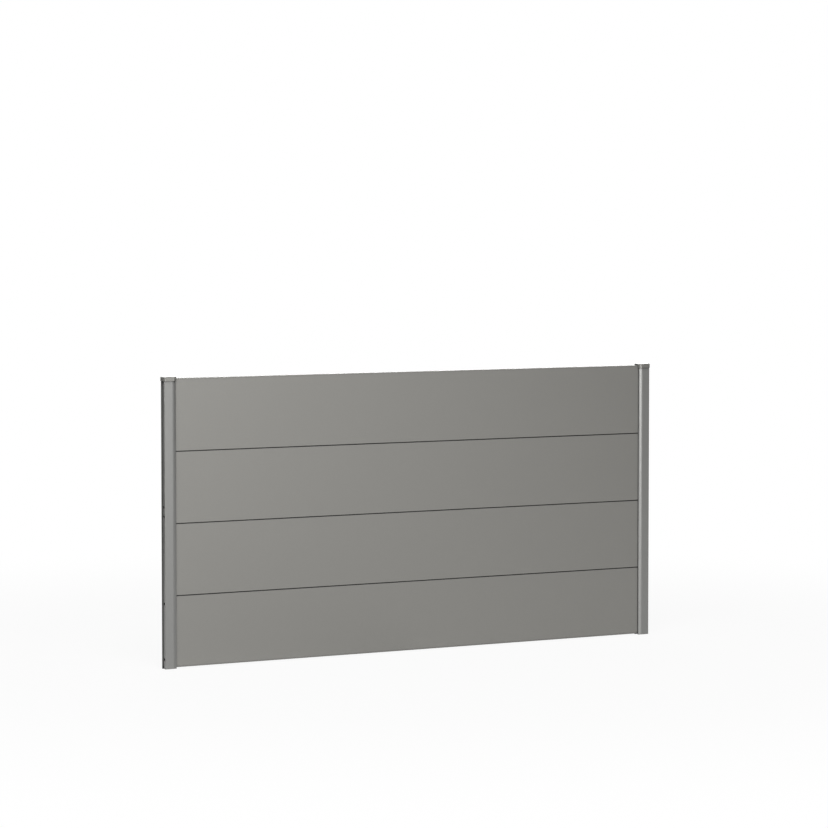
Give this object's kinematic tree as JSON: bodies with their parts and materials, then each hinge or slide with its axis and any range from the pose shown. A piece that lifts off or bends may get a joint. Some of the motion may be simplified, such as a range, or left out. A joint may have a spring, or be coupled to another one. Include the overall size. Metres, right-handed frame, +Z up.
{
  "type": "privacy screen panel",
  "caption": "Upright privacy screen: wide hollow planks with shadow joints, slotted into a slim post at each end, with capped tops and side holes for fixing.",
  "frame": {"origin": "middle of the footprint, on the surface that the posts' feet stand on", "axes": "+X along the panel to the right as seen from the front, +Y to the back, +Z up; the front with the rounded lips faces -Y"},
  "size_m": [1.8046, 0.0296, 0.91],
  "materials": {
    "paint": "quartz grey metallic powder coat on extruded aluminium",
    "cap_shell": "the same powder coat on die-cast aluminium",
    "plug": "black moulded plastic",
    "seal": "black extruded rubber",
    "screw_steel": "bright stainless steel"
  },
  "bodies": {
    "root": {"bottom_strip": "paint", "left_back_seal": "seal", "left_cap": "cap_shell", "left_foot_plug": "plug", "left_front_seal": "seal", "left_post": "paint", "plank_1": "paint", "plank_2": "paint", "plank_3": "paint", "plank_4": "paint", "plank_screws": "screw_steel", "right_back_seal": "seal", "right_cap": "cap_shell", "right_foot_plug": "plug", "right_front_seal": "seal", "right_post": "paint", "top_strip": "paint"}
  },
  "joints": []
}
